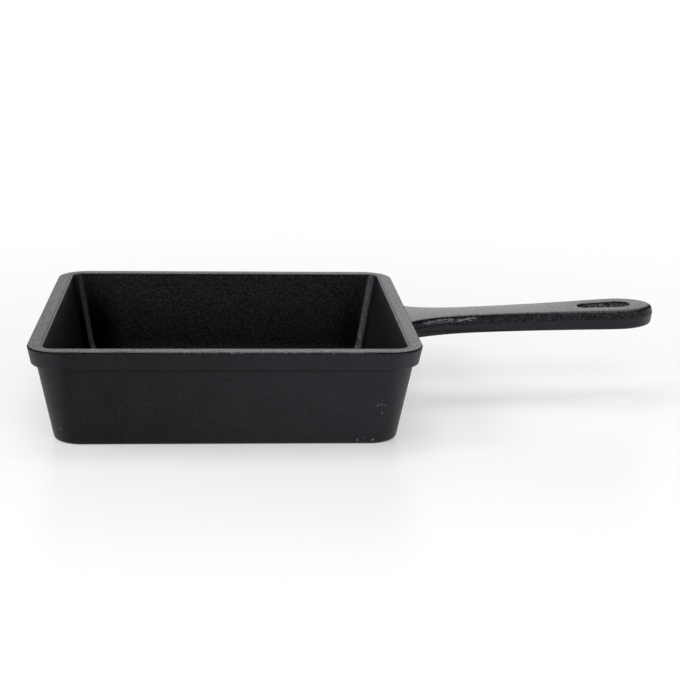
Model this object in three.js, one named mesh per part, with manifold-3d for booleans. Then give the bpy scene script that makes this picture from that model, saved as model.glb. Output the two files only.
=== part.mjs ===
// Square frying pan, sand-cast from grey iron in one pour and seasoned black.
// Millimetres, +Z up. The origin is the middle of the flat underside, and the handle runs out along +X.
// The casting is built whole: outside shape, handle joined on, then the cavity and the hanging eye cut out.
// One flat plane just outside the rim then divides it into the pan body and the handle.
import * as THREE from "three";
import { mergeVertices } from "three/addons/utils/BufferGeometryUtils.js";
import Module from "manifold-3d";

const { clamp, degToRad, lerp } = THREE.MathUtils;

// Pan body
const RIM_SIDE = 150; // outside of the rim, across its top edge
const PAN_HEIGHT = 38.8; // underside to the top of the rim
const RIM_WIDTH = 6.2; // top of the rim, outside to inside
const BAND_HEIGHT = 7.5; // thickened band round the outside of the rim
const BAND_STEP = 2; // how far the band stands out from the wall
const WALL_DRAFT = degToRad(10.1); // lean of walls and band, so that the pattern leaves the sand
const FLOOR_THICKNESS = 4.5;
const WALL_CORNER = 11.2; // plan radius of the outside corners
const CAVITY_CORNER = 4.7; // plan radius of the inside corners

// Edges and fillets of the pan body, as radii
const BASE_EDGE = 2;
const BAND_CREASE = 0.5;
const BAND_LOWER_EDGE = 0.9;
const RIM_OUTER_EDGE = 0.6;
const RIM_INNER_EDGE = 0.6;
const FLOOR_FILLET = 4;
const LEAST_CORNER = 0.5; // sharpest plan corner that a fillet may leave

// Handle: lengths run out from the rim along the handle, widths are half widths
const HANDLE_LENGTH = 104.8;
const HANDLE_THICKNESS = 7.6; // before it grows towards its two ends
const TIP_EXTRA = 0.87; // how much thicker the handle grows up to its tip
const ROOT_EXTRA = 0.65; // how much thicker it grows from the waist back to the rim
const HANDLE_DROP = 2.4; // top of the handle below the top of the rim
const HANDLE_RISE = degToRad(2.72); // slope of the handle, up towards the tip
const SIDE_DRAFT = degToRad(3); // lean of the sides, inwards from the parting line both up and down
const TIP_DRAFT = degToRad(13); // lean of the tip below the parting line
const ROOT_HALF = 20.8; // where the flare runs out on the wall
const WAIST_HALF = 8.55;
const WAIST_AT = 29.4;
const EYE_HALF = 12.05;
const END_LENGTH = 15.3; // rounded end, from the widest place to the tip
const HANDLE_TOP_EDGE = 1.25;
const TIP_TOP_EDGE = 2.5; // the same edge at the tip, up to which it grows along the rounded end
const HANDLE_LOWER_EDGE = 1.1;
const ROOT_FILLET = 5; // under the handle, where it runs into the wall
const ROOT_SINK = 0.4; // depth of the root inside the wall, where the fillet runs out

// Pull of the handle's side curves at their two ends, as parts of the stretch that each curve spans
const FLARE_PULL = [0.81, 0.41];
const GRIP_PULL = [0.56, 0.16];
const END_PULL = [0.46, 0.56];

// Hanging eye: a teardrop slot with its narrow end towards the pan
const SLOT_TIP_WALL = 9.8; // iron between the slot and the tip
const SLOT_SPAN = 13.3; // between the centres of the slot's two round ends
const SLOT_FAR_RADIUS = 5;
const SLOT_NEAR_RADIUS = 3.9;
const SLOT_EDGE = 0.6;

// The plane that divides the casting, measured out from the rim
const DIVIDE_AT = 1.5;

// Fineness of the facets
const CORNER_STEPS = 8;
const EDGE_STEPS = 4;
const CURVE_STEPS = 12;
const SLOT_STEPS = 12;

const CUT_PAST = 2; // run of a cutter past the face that it opens

const wasm = await Module();
wasm.setup();

// The drafted faces: half width of the pan at a height
const wallLean = Math.tan(WALL_DRAFT);
const bandHalf = (z) => RIM_SIDE / 2 - (PAN_HEIGHT - z) * wallLean;
const wallHalf = (z) => bandHalf(z) - BAND_STEP;
const cavityHalf = (z) => bandHalf(z) - RIM_WIDTH;

// The handle's own frame: x out from the rim, z up from the parting line, the whole sloped by the rise
const rimX = RIM_SIDE / 2;
const handleHalf = HANDLE_THICKNESS / 2;
const handleTop = PAN_HEIGHT - HANDLE_DROP;
const handleFrame = new THREE.Matrix4()
  .makeTranslation(rimX, 0, handleTop)
  .multiply(new THREE.Matrix4().makeRotationY(-HANDLE_RISE))
  .multiply(new THREE.Matrix4().makeTranslation(0, 0, -handleHalf));

// Start of the root, just inside the wall at the foot of the root fillet, in the handle's frame
const rootDepth = HANDLE_THICKNESS + ROOT_EXTRA + ROOT_FILLET;
const rootX = wallHalf(handleTop - rootDepth) - rimX - rootDepth * Math.sin(HANDLE_RISE) - ROOT_SINK;

// Places along the handle that keep their distance from the tip
const eyeAt = HANDLE_LENGTH - END_LENGTH;
const slotFarAt = HANDLE_LENGTH - SLOT_TIP_WALL - SLOT_FAR_RADIUS;
const slotNearAt = slotFarAt - SLOT_SPAN;

const steps = (count) => Array.from({ length: count + 1 }, (_, step) => step / count);

// A polyline with rounded corners, each [half width, height, radius]. Without a radius a corner stays sharp.
function roundedSection(corners) {
  const points = corners.map(([half, z]) => new THREE.Vector2(half, z));
  return corners.flatMap(([, , radius], i) => {
    const corner = points[i];
    if (!radius) return [corner];
    const back = points[i - 1].clone().sub(corner).normalize();
    const ahead = points[i + 1].clone().sub(corner).normalize();
    const halfAngle = Math.acos(back.dot(ahead)) / 2;
    const inward = back.clone().add(ahead).normalize();
    const centre = corner.clone().addScaledVector(inward, radius / Math.sin(halfAngle));
    const reach = radius / Math.tan(halfAngle);
    const start = corner.clone().addScaledVector(back, reach);
    const from = start.clone().sub(centre);
    const to = corner.clone().addScaledVector(ahead, reach).sub(centre);
    const sweep = Math.atan2(from.cross(to), from.dot(to));
    return steps(EDGE_STEPS).map((part) => start.clone().rotateAround(centre, sweep * part));
  });
}

// Points along an arc at one height
function arc(x, y, radius, from, to, z, count) {
  return steps(count).map((part) => {
    const angle = from + (to - from) * part;
    return new THREE.Vector3(x + radius * Math.cos(angle), y + radius * Math.sin(angle), z);
  });
}

// Square with round corners, counter-clockwise from above
function roundedSquare(half, radius, z) {
  const middle = half - radius;
  const quarter = Math.PI / 2;
  return [
    ...arc(middle, middle, radius, 0, quarter, z, CORNER_STEPS),
    ...arc(-middle, middle, radius, quarter, 2 * quarter, z, CORNER_STEPS),
    ...arc(-middle, -middle, radius, 2 * quarter, 3 * quarter, z, CORNER_STEPS),
    ...arc(middle, -middle, radius, 3 * quarter, 4 * quarter, z, CORNER_STEPS),
  ];
}

// Height of a place on the handle. Below the parting line it is carried down as the handle grows thicker,
// evenly towards the tip and ever faster from the waist back to the rim.
function lowered(x, z) {
  const toTip = clamp(x / HANDLE_LENGTH, 0, 1);
  const toRim = clamp(1 - x / WAIST_AT, 0, 1);
  const grown = 1 + (TIP_EXTRA * toTip + ROOT_EXTRA * toRim ** 2) / handleHalf;
  return z < 0 ? z * grown : z;
}

// Growth from nothing to one along the rounded end, slow at first
const alongEnd = (x) => clamp((x - eyeAt) / END_LENGTH, 0, 1) ** 2;

// Lean of the handle's side. Below the parting line the rounded end leans more and more up to its tip.
const sideLean = (x, z) => Math.tan(z < 0 ? lerp(SIDE_DRAFT, TIP_DRAFT, alongEnd(x)) : SIDE_DRAFT);

// Growth of the radius of the handle's top edge
const topGrowth = (x, z) => (z > 0 ? lerp(1, TIP_TOP_EDGE / HANDLE_TOP_EDGE, alongEnd(x)) : 1);

// Teardrop of the hanging eye, grown evenly all round, counter-clockwise from above
function teardrop(grow, z) {
  const turn = Math.acos((SLOT_NEAR_RADIUS - SLOT_FAR_RADIUS) / SLOT_SPAN);
  const outline = [
    ...arc(slotFarAt, 0, SLOT_FAR_RADIUS + grow, -turn, turn, z, SLOT_STEPS),
    ...arc(slotNearAt, 0, SLOT_NEAR_RADIUS + grow, turn, 2 * Math.PI - turn, z, SLOT_STEPS),
  ];
  return outline.map((point) => point.setZ(lowered(point.x, z)));
}

// Closed skin over a row of rings with equal numbers of points, as a solid. A ring of one point ends it.
function loft(rings, frame = new THREE.Matrix4()) {
  const starts = [];
  let count = 0;
  for (const ring of rings) {
    starts.push(count);
    count += ring.length;
  }
  const around = Math.max(...rings.map((ring) => ring.length));
  const at = (i, j) => starts[i] + (j % rings[i].length);
  const faces = [];
  for (let i = 0; i + 1 < rings.length; i++) {
    for (let j = 0; j < around; j++) {
      faces.push(at(i, j), at(i, j + 1), at(i + 1, j + 1));
      faces.push(at(i, j), at(i + 1, j + 1), at(i + 1, j));
    }
  }
  const skin = new THREE.BufferGeometry().setFromPoints(rings.flat()).setIndex(faces);
  return toSolid(skin.applyMatrix4(frame));
}

// A closed mesh as a solid that can be joined and cut, without faces that have shrunk to a line
function toSolid(geometry) {
  geometry.deleteAttribute("normal");
  geometry.deleteAttribute("uv");
  const merged = mergeVertices(geometry);
  const corners = merged.index.array;
  const kept = [];
  for (let i = 0; i < corners.length; i += 3) {
    const [a, b, c] = [corners[i], corners[i + 1], corners[i + 2]];
    if (a !== b && b !== c && c !== a) kept.push(a, b, c);
  }
  const vertProperties = new Float32Array(merged.attributes.position.array);
  return new wasm.Manifold(new wasm.Mesh({ numProp: 3, vertProperties, triVerts: new Uint32Array(kept) }));
}

// A square form from a half section that starts and ends on the axis. The plan corners keep their radius up
// the drafted wall, and edges and bands run round them at an even offset from that wall.
function squareForm(section, wallLine, cornerRadius) {
  const rings = roundedSection(section).map(({ x: half, y: z }) => {
    if (half === 0) return [new THREE.Vector3(0, 0, z)];
    const radius = Math.max(cornerRadius + half - wallLine(z), LEAST_CORNER);
    return roundedSquare(half, radius, z);
  });
  return loft(rings);
}

// Outside of the pan, solid up to the top of the rim
function outside() {
  const bandFoot = PAN_HEIGHT - BAND_HEIGHT;
  const section = [
    [0, 0],
    [wallHalf(0), 0, BASE_EDGE],
    [wallHalf(bandFoot), bandFoot, BAND_CREASE],
    [bandHalf(bandFoot), bandFoot, BAND_LOWER_EDGE],
    [bandHalf(PAN_HEIGHT), PAN_HEIGHT, RIM_OUTER_EDGE],
    [0, PAN_HEIGHT],
  ];
  return squareForm(section, wallHalf, WALL_CORNER);
}

// The cavity, as the core that the iron is poured round. At the top it spreads over the rim's inner edge.
function cavity() {
  const coreTop = PAN_HEIGHT + CUT_PAST;
  const overEdge = cavityHalf(PAN_HEIGHT) + RIM_INNER_EDGE;
  const section = [
    [0, FLOOR_THICKNESS],
    [cavityHalf(FLOOR_THICKNESS), FLOOR_THICKNESS, FLOOR_FILLET],
    [cavityHalf(PAN_HEIGHT), PAN_HEIGHT, RIM_INNER_EDGE],
    [overEdge, PAN_HEIGHT],
    [overEdge, coreTop],
    [0, coreTop],
  ];
  const wallLine = (z) => cavityHalf(Math.min(z, PAN_HEIGHT));
  return squareForm(section, wallLine, CAVITY_CORNER);
}

// One side of the handle in plan, from its foot on the pan out to the tip: flare, grip and rounded end
function handleSide(footX) {
  const flare = new THREE.CubicBezierCurve(
    new THREE.Vector2(footX, ROOT_HALF),
    new THREE.Vector2(footX, ROOT_HALF - FLARE_PULL[0] * (ROOT_HALF - WAIST_HALF)),
    new THREE.Vector2(WAIST_AT - FLARE_PULL[1] * WAIST_AT, WAIST_HALF),
    new THREE.Vector2(WAIST_AT, WAIST_HALF),
  );
  const grip = new THREE.CubicBezierCurve(
    new THREE.Vector2(WAIST_AT, WAIST_HALF),
    new THREE.Vector2(WAIST_AT + GRIP_PULL[0] * (eyeAt - WAIST_AT), WAIST_HALF),
    new THREE.Vector2(eyeAt - GRIP_PULL[1] * (eyeAt - WAIST_AT), EYE_HALF),
    new THREE.Vector2(eyeAt, EYE_HALF),
  );
  const end = new THREE.CubicBezierCurve(
    new THREE.Vector2(eyeAt, EYE_HALF),
    new THREE.Vector2(eyeAt + END_PULL[0] * END_LENGTH, EYE_HALF),
    new THREE.Vector2(HANDLE_LENGTH, END_PULL[1] * EYE_HALF),
    new THREE.Vector2(HANDLE_LENGTH, 0),
  );
  return [flare, grip, end];
}

// Edge of the handle as [inset from the side, height]: rounded low edge, parting line, rounded top edge
function handleEdge() {
  const low = steps(EDGE_STEPS).map((part) => {
    const angle = (part * Math.PI) / 2;
    const inset = HANDLE_LOWER_EDGE * (1 - Math.sin(angle));
    return [inset, HANDLE_LOWER_EDGE * (1 - Math.cos(angle)) - handleHalf];
  });
  const top = steps(EDGE_STEPS).map((part) => {
    const angle = (part * Math.PI) / 2;
    const inset = HANDLE_TOP_EDGE * (1 - Math.cos(angle));
    return [inset, handleHalf - HANDLE_TOP_EDGE * (1 - Math.sin(angle))];
  });
  return [...low, [0, 0], ...top];
}

// How far the root fillet carries the underside down at a distance from the rim
function rootDrop(x) {
  const within = clamp(rootX + ROOT_FILLET - x, 0, ROOT_FILLET);
  return ROOT_FILLET - Math.sqrt(ROOT_FILLET ** 2 - within ** 2);
}

// One level of the handle's edge, as points from the foot to the tip. The top half of the handle runs out on
// the band, and the lower half, carried down by the root fillet, on the wall below it.
function handleLevel([inset, z]) {
  const onBand = bandHalf(handleTop - handleHalf + z) - rimX - ROOT_SINK;
  return handleSide(z < 0 ? rootX : onBand).flatMap((curve) =>
    steps(CURVE_STEPS).map((part) => {
      const place = curve.getPoint(part);
      const along = curve.getTangent(part);
      const growth = topGrowth(place.x, z);
      const inside = inset * growth + Math.abs(z) * sideLean(place.x, z);
      const x = place.x + along.y * inside;
      const y = Math.max(place.y - along.x * inside, 0);
      const above = z > 0 ? handleHalf - (handleHalf - z) * growth : z;
      return new THREE.Vector3(x, y, z < 0 ? lowered(x, z) - rootDrop(x) : above);
    }),
  );
}

// The handle as a bar: at each place along it a ring runs up one edge, over the top and down the other.
// Its root ends in a point inside the pan, which the cavity takes off.
function bar() {
  const levels = handleEdge().map(handleLevel);
  const rings = levels[0].map((_, i) => {
    const near = levels.map((level) => level[i]);
    const far = near.map(({ x, y, z }) => new THREE.Vector3(x, -y, z)).reverse();
    return [...near, ...far];
  });
  const root = new THREE.Vector3(rootX - ROOT_FILLET, 0, 0);
  return loft([[root], ...rings], handleFrame);
}

// The hanging eye, as a plug that spreads over the rounded edges of both faces
function eye() {
  const spread = steps(EDGE_STEPS).map((part) => {
    const angle = (part * Math.PI) / 2;
    return [SLOT_EDGE * (1 - Math.sin(angle)), handleHalf - SLOT_EDGE * (1 - Math.cos(angle))];
  });
  const levels = [[SLOT_EDGE, handleHalf + CUT_PAST], ...spread];
  const rings = [
    ...levels.map(([grow, z]) => teardrop(grow, -z)),
    ...levels.reverse().map(([grow, z]) => teardrop(grow, z)),
  ];
  const end = (z) => [new THREE.Vector3(slotFarAt, 0, lowered(slotFarAt, z))];
  const reach = handleHalf + CUT_PAST;
  return loft([end(-reach), ...rings, end(reach)], handleFrame);
}

// Everything beyond the dividing plane
function beyond() {
  const width = HANDLE_LENGTH;
  const box = new THREE.BoxGeometry(width, RIM_SIDE, 2 * RIM_SIDE);
  return toSolid(box.translate(rimX + DIVIDE_AT + width / 2, 0, 0));
}

function node(name, solid, material) {
  const { vertProperties, triVerts } = solid.getMesh();
  const geometry = new THREE.BufferGeometry();
  geometry.setAttribute("position", new THREE.BufferAttribute(vertProperties, 3));
  geometry.setIndex(new THREE.BufferAttribute(triVerts, 1));
  geometry.computeVertexNormals();
  const mesh = new THREE.Mesh(geometry, material);
  mesh.name = name;
  return mesh;
}

const casting = outside().add(bar()).subtract(cavity()).subtract(eye());
const handleEnd = beyond();

const pan = new THREE.Group();
pan.name = "square_frying_pan";
pan.add(
  node(
    "pan_body",
    casting.subtract(handleEnd),
    new THREE.MeshStandardMaterial({ color: 0x2b2c2e, roughness: 0.62, metalness: 0.35 }),
  ),
  node(
    "handle",
    casting.intersect(handleEnd),
    new THREE.MeshStandardMaterial({ color: 0x2e2f31, roughness: 0.58, metalness: 0.35 }),
  ),
);

export default pan;
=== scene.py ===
# %% [markdown]
# # A square cast-iron frying pan
# The real pan is one piece of grey iron, poured into sand and then seasoned black with baked-on oil.
# Its plain shapes carry little detail, so the looks depend on three things: edges that are truly round,
# a skin that is slightly uneven as sand castings are, and a black finish that shines only at low angles.
# This lesson builds those in that order. The imported solids give the frame and the box to stay inside.

# %% Frame, tools and the imported solids
import math

import bmesh
import bpy
import numpy as np
from mathutils import Matrix, Vector


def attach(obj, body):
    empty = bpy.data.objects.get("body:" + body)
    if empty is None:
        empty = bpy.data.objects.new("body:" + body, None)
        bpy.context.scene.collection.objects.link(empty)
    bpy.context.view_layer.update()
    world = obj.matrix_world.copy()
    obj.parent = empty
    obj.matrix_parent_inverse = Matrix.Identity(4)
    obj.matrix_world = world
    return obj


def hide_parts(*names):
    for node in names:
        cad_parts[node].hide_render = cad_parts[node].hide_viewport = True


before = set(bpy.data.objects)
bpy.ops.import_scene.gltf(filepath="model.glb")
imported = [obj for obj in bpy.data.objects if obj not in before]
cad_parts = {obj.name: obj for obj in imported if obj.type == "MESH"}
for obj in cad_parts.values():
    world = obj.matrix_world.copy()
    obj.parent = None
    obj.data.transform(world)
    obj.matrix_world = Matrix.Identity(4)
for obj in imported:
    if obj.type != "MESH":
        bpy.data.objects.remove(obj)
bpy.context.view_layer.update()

MM = 0.001
scene = bpy.context.scene

# %% [markdown]
# ## The camera
# A low camera with a long lens shows the front wall and the inside of the back wall at the same time.
# It could be placed by eye, but then every edge of the pan would lean a little wrong. The place, turn and
# lens below come from fitting straight edges of the pan instead. The lens is centred, because the pan sits
# in the picture where a centred lens puts it.

# %% Camera
CAMERA_PLACE = Vector((-1.58, -663.05, 190.71)) * MM
CAMERA_YAW = 0.0742  # turn to the right, in radians like the next two
CAMERA_PITCH = 0.24445
CAMERA_ROLL = 0.01875
LENS_IN_PIXELS = 1632.2
PICTURE_PIXELS = 680
SENSOR = 36.0
NEAREST_SEEN = 10 * MM


def camera_axes(yaw, pitch, roll):
    """Right, up and back of a camera that looks along +Y, then turns right, tips down and rolls."""
    ahead = Vector((math.sin(yaw) * math.cos(pitch), math.cos(yaw) * math.cos(pitch), -math.sin(pitch)))
    right = Vector((math.cos(yaw), -math.sin(yaw), 0.0))
    up = right.cross(ahead)
    rolled_right = math.cos(roll) * right + math.sin(roll) * up
    rolled_up = -math.sin(roll) * right + math.cos(roll) * up
    return rolled_right, rolled_up, -ahead


camera = bpy.data.objects.new("camera", bpy.data.cameras.new("camera"))
camera.data.sensor_width = SENSOR
camera.data.lens = SENSOR * LENS_IN_PIXELS / PICTURE_PIXELS
camera.data.clip_start = NEAREST_SEEN
camera.matrix_world = Matrix.Translation(CAMERA_PLACE) @ Matrix(
    camera_axes(CAMERA_YAW, CAMERA_PITCH, CAMERA_ROLL)
).transposed().to_4x4()
scene.collection.objects.link(camera)
scene.camera = camera
print("lens in mm:", round(camera.data.lens, 2))

# %% [markdown]
# ## The section of the vessel
# Cut through the middle, the pan is a thin outline: flat base, leaning wall, a thicker band at the rim,
# the flat rim itself, and then the inside wall down to the floor. A box could be hollowed out and bevelled,
# but one bevel gives one radius, and here each edge has its own. A pattern maker draws the section first
# and rounds every corner, because sharp corners crumble in the sand. The same is done here: corners with
# a radius each, turned into arcs, in the half of the section right of the middle line.

# %% Sizes of the vessel, in millimetres
RIM_SIDE = 150.0  # across the top edge of the rim
PAN_HEIGHT = 38.8
RIM_WIDTH = 6.2
BAND_HEIGHT = 7.5  # the thicker band round the outside of the rim
BAND_STEP = 2.0  # how far it stands out from the wall
WALL_DRAFT = math.radians(10.1)
FLOOR_THICKNESS = 4.5
HALF_RIM = RIM_SIDE / 2
LEAN = math.tan(WALL_DRAFT)


def band_half(z):
    """Half the width across the outside of the band, at a height."""
    return HALF_RIM - (PAN_HEIGHT - z) * LEAN


def wall_half(z):
    return band_half(z) - BAND_STEP


def cavity_half(z):
    return band_half(z) - RIM_WIDTH


print("base side:", round(2 * wall_half(0), 1))
print("cooking floor side:", round(2 * cavity_half(FLOOR_THICKNESS), 1))

# %% Rounding a section
def rounded_section(corners, arc_steps=9):
    """Points of a polyline whose corners (half width, height, radius) are turned into arcs."""
    places = [Vector(corner[:2]) for corner in corners]
    points = []
    for i, (_, _, radius) in enumerate(corners):
        here = places[i]
        if not radius:
            points.append(here)
            continue
        back = (places[i - 1] - here).normalized()
        ahead = (places[i + 1] - here).normalized()
        half_angle = back.angle(ahead) / 2
        centre = here + (back + ahead).normalized() * (radius / math.sin(half_angle))
        start = here + back * (radius / math.tan(half_angle)) - centre
        end = here + ahead * (radius / math.tan(half_angle)) - centre
        sweep = math.atan2(start.x * end.y - start.y * end.x, start.dot(end))
        for step in range(arc_steps + 1):
            turned = Matrix.Rotation(sweep * step / arc_steps, 2) @ start
            points.append(centre + turned)
    return points


def with_stops(points, longest):
    """Puts even stops on each stretch that is longer than the longest one allowed."""
    filled = [points[0]]
    for a, b in zip(points, points[1:]):
        pieces = max(1, math.ceil((b - a).length / longest))
        filled += [a.lerp(b, (k + 1) / pieces) for k in range(pieces)]
    return filled


# %% Corners of the section and their radii
BASE_EDGE = 2.0
BAND_CREASE = 0.5
BAND_LOWER_EDGE = 0.9
RIM_EDGE = 0.6
FLOOR_FILLET = 4.0
LONGEST_STRETCH = 3.0
band_foot = PAN_HEIGHT - BAND_HEIGHT
section_corners = [
    (0, 0, 0),
    (wall_half(0), 0, BASE_EDGE),
    (wall_half(band_foot), band_foot, BAND_CREASE),
    (band_half(band_foot), band_foot, BAND_LOWER_EDGE),
    (HALF_RIM, PAN_HEIGHT, RIM_EDGE),
    (HALF_RIM - RIM_WIDTH, PAN_HEIGHT, RIM_EDGE),
    (cavity_half(FLOOR_THICKNESS), FLOOR_THICKNESS, FLOOR_FILLET),
    (0, FLOOR_THICKNESS, 0),
]
section = with_stops(rounded_section(section_corners), LONGEST_STRETCH)
print("section points:", len(section))

# %% The section as a curve
section_curve = bpy.data.curves.new("pan_section", "CURVE")
section_curve.dimensions = "3D"
spline = section_curve.splines.new("POLY")
spline.points.add(len(section) - 1)
for stop, point in zip(spline.points, section):
    stop.co = (point.x * MM, point.y * MM, 0, 1)
section_object = bpy.data.objects.new("pan_section", section_curve)
scene.collection.objects.link(section_object)
print("section length in mm:", round(spline.calc_length() / MM, 1))

# %% [markdown]
# ## Wiring node trees from code
# Geometry trees and shader trees are wired in the same way: make a node, set it, join it to the others.
# They could be drawn by hand in the node editor, but written as code the rule of a shape can be read.
# A small helper keeps each sum on one line. In every step that follows, w wires the tree of that step.

# %% Node wiring helper
COLUMNS = 14
COLUMN_WIDTH, ROW_HEIGHT = 190, 260


class Wiring:
    """Adds nodes to a tree. A value given for a socket is a plain value, or another node's output."""

    def __init__(self, tree):
        self.tree = tree

    def feed(self, socket, value):
        if isinstance(value, bpy.types.NodeSocket):
            self.tree.links.new(value, socket)
        else:
            socket.default_value = value

    def node(self, kind, inputs=None, **settings):
        made = self.tree.nodes.new(kind)
        row, column = divmod(len(self.tree.nodes), COLUMNS)
        made.location = (COLUMN_WIDTH * column, -ROW_HEIGHT * row)
        for name, value in settings.items():
            setattr(made, name, value)
        for key, value in (inputs or {}).items():
            self.feed(made.inputs[key], value)
        return made

    def number(self, operation, *values):
        made = self.node("ShaderNodeMath", dict(enumerate(values)), operation=operation)
        return made.outputs[0]

    def vector(self, operation, *values):
        made = self.node("ShaderNodeVectorMath", dict(enumerate(values)), operation=operation)
        return made.outputs["Vector"]

    def distance(self, here, there):
        made = self.node("ShaderNodeVectorMath", {0: here, 1: there}, operation="DISTANCE")
        return made.outputs["Value"]

    def scaled(self, vector, factor):
        made = self.node("ShaderNodeVectorMath", {0: vector, "Scale": factor}, operation="SCALE")
        return made.outputs["Vector"]

    def join(self, x, y, z):
        return self.node("ShaderNodeCombineXYZ", {0: x, 1: y, 2: z}).outputs[0]

    def split(self, vector):
        return self.node("ShaderNodeSeparateXYZ", {0: vector}).outputs

    def ramp(self, value, low, high, start=0.0, end=1.0):
        """A smooth change from start to end while value goes from low to high."""
        sockets = {"Value": value, "From Min": low, "From Max": high, "To Min": start, "To Max": end}
        return self.node("ShaderNodeMapRange", sockets, interpolation_type="SMOOTHSTEP").outputs["Result"]


# %% Helpers that make and run geometry trees
def geometry_tree(name, sizes):
    """An empty geometry tree with a named input for each size, and its input sockets by name."""
    tree = bpy.data.node_groups.new(name, "GeometryNodeTree")
    tree.is_modifier = True
    tree.interface.new_socket(name="Geometry", in_out="INPUT", socket_type="NodeSocketGeometry")
    for label, kind in sizes.items():
        tree.interface.new_socket(name=label, in_out="INPUT", socket_type=kind)
    tree.interface.new_socket(name="Geometry", in_out="OUTPUT", socket_type="NodeSocketGeometry")
    wiring = Wiring(tree)
    return wiring, wiring.node("NodeGroupInput").outputs


def end_tree(geometry, material):
    """Ends the tree that w wires: real faces only, and one material on all of them."""
    made = w.node("GeometryNodeRealizeInstances", {"Geometry": geometry}).outputs[0]
    made = w.node("GeometryNodeSetMaterial", {"Geometry": made, "Material": material}).outputs[0]
    w.feed(w.node("NodeGroupOutput").inputs[0], made)


def make_plain(obj, tree, values):
    """Runs a geometry tree on an object and keeps the result as its plain mesh."""
    modifier = obj.modifiers.new(tree.name, "NODES")
    modifier.node_group = tree
    for item in tree.interface.items_tree:
        if item.in_out == "INPUT" and item.name in values:
            modifier[item.identifier] = values[item.name]
    bake_modifiers(obj)


def bake_modifiers(obj):
    """The object's mesh becomes what its modifiers make of it, and the modifiers go."""
    bpy.context.view_layer.update()
    graph = bpy.context.evaluated_depsgraph_get()
    made = obj.evaluated_get(graph)
    mesh = bpy.data.meshes.new_from_object(made, preserve_all_data_layers=True, depsgraph=graph)
    old = obj.data
    obj.modifiers.clear()
    obj.data = mesh
    bpy.data.meshes.remove(old)
    mesh.name = obj.name


# %% Helpers that make and close meshes
MERGE_WITHIN = 1e-6  # metres


def mesh_object(name, vertices=(), faces=()):
    """A mesh object at the origin, with doubles merged and its faces turned outwards."""
    mesh = bpy.data.meshes.new(name)
    mesh.from_pydata([tuple(v) for v in vertices], [], [tuple(f) for f in faces])
    obj = bpy.data.objects.new(name, mesh)
    scene.collection.objects.link(obj)
    close_up(obj)
    return obj


def close_up(obj):
    """Merges doubled points and turns the faces of a closed shell outwards."""
    bm = bmesh.new()
    bm.from_mesh(obj.data)
    bmesh.ops.remove_doubles(bm, verts=bm.verts, dist=MERGE_WITHIN)
    bmesh.ops.dissolve_degenerate(bm, edges=bm.edges, dist=MERGE_WITHIN)
    bmesh.ops.recalc_face_normals(bm, faces=bm.faces)
    bm.to_mesh(obj.data)
    bm.free()


# %% [markdown]
# ## The vessel: a section carried round a square
# The pan follows one rule all the way round, so a geometry tree makes it. Sweeping the section along a
# rounded square would shrink the corner radius to nothing at the base, because a sweep keeps corners
# concentric. A foundry pattern keeps the radius up the whole wall instead. So the sweep only gives the
# net of faces, and each point is then put in place by the rule: square off the ring at its half width,
# hold the straight sides, and swing the corner part round on its own radius.

# %% Inputs of the vessel tree
POINTS_PER_SIDE = 84
OUTSIDE_CORNER = 11.2
INSIDE_CORNER = 4.7
LEAST_CORNER = 0.5
vessel_lengths = {
    "Half Rim": HALF_RIM,
    "Height": PAN_HEIGHT,
    "Band Step": BAND_STEP,
    "Rim Width": RIM_WIDTH,
    "Floor Thickness": FLOOR_THICKNESS,
    "Outside Corner": OUTSIDE_CORNER,
    "Inside Corner": INSIDE_CORNER,
    "Least Corner": LEAST_CORNER,
}
vessel_inputs = {"Section": "NodeSocketObject", "Points per Side": "NodeSocketInt"}
vessel_inputs |= {"Lean": "NodeSocketFloat", "Material": "NodeSocketMaterial"}
vessel_inputs |= dict.fromkeys(vessel_lengths, "NodeSocketFloat")
w, size = geometry_tree("square_vessel", vessel_inputs)
print("inputs of the vessel tree:", sorted(vessel_inputs))

# %% The net of faces
square = w.node("GeometryNodeCurvePrimitiveQuadrilateral", {"Width": 2.0, "Height": 2.0}).outputs[0]
ring = w.node(
    "GeometryNodeResampleCurve",
    {"Curve": square, "Count": w.number("MULTIPLY", size["Points per Side"], 4.0)},
    mode="COUNT",
).outputs[0]
position = w.node("GeometryNodeInputPosition").outputs[0]


def remember(curve, label):
    """Keeps each curve point's place, so that the swept net still knows it."""
    keeper = w.node("GeometryNodeCaptureAttribute")
    keeper.capture_items.new("VECTOR", label)
    w.feed(keeper.inputs["Geometry"], curve)
    w.feed(keeper.inputs[label], position)
    return keeper.outputs["Geometry"], keeper.outputs[label]


ring, on_square = remember(ring, "on_square")
profile = w.node("GeometryNodeObjectInfo", {"Object": size["Section"]}).outputs["Geometry"]
profile, on_section = remember(profile, "on_section")
net = w.node("GeometryNodeCurveToMesh", {"Curve": ring, "Profile Curve": profile}).outputs[0]
print("nodes of the net:", len(w.tree.nodes))

# %% Corner radius at each point
half, z, _ = w.split(on_section)
slack = w.number("MULTIPLY", w.number("SUBTRACT", size["Height"], z), size["Lean"])
band_line = w.number("SUBTRACT", size["Half Rim"], slack)
wall_line = w.number("SUBTRACT", band_line, size["Band Step"])
cavity_line = w.number("SUBTRACT", band_line, size["Rim Width"])
mid_wall = w.number("MULTIPLY", w.number("ADD", wall_line, cavity_line), 0.5)
mid_floor = w.number("MULTIPLY", size["Floor Thickness"], 0.5)
on_inside = w.number(
    "MULTIPLY", w.number("LESS_THAN", half, mid_wall), w.number("GREATER_THAN", z, mid_floor)
)
outer_radius = w.number("ADD", size["Outside Corner"], w.number("SUBTRACT", half, wall_line))
inner_radius = w.number("ADD", size["Inside Corner"], w.number("SUBTRACT", half, cavity_line))
radius = w.node(
    "GeometryNodeSwitch",
    {"Switch": on_inside, "False": outer_radius, "True": inner_radius},
    input_type="FLOAT",
).outputs[0]
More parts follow.
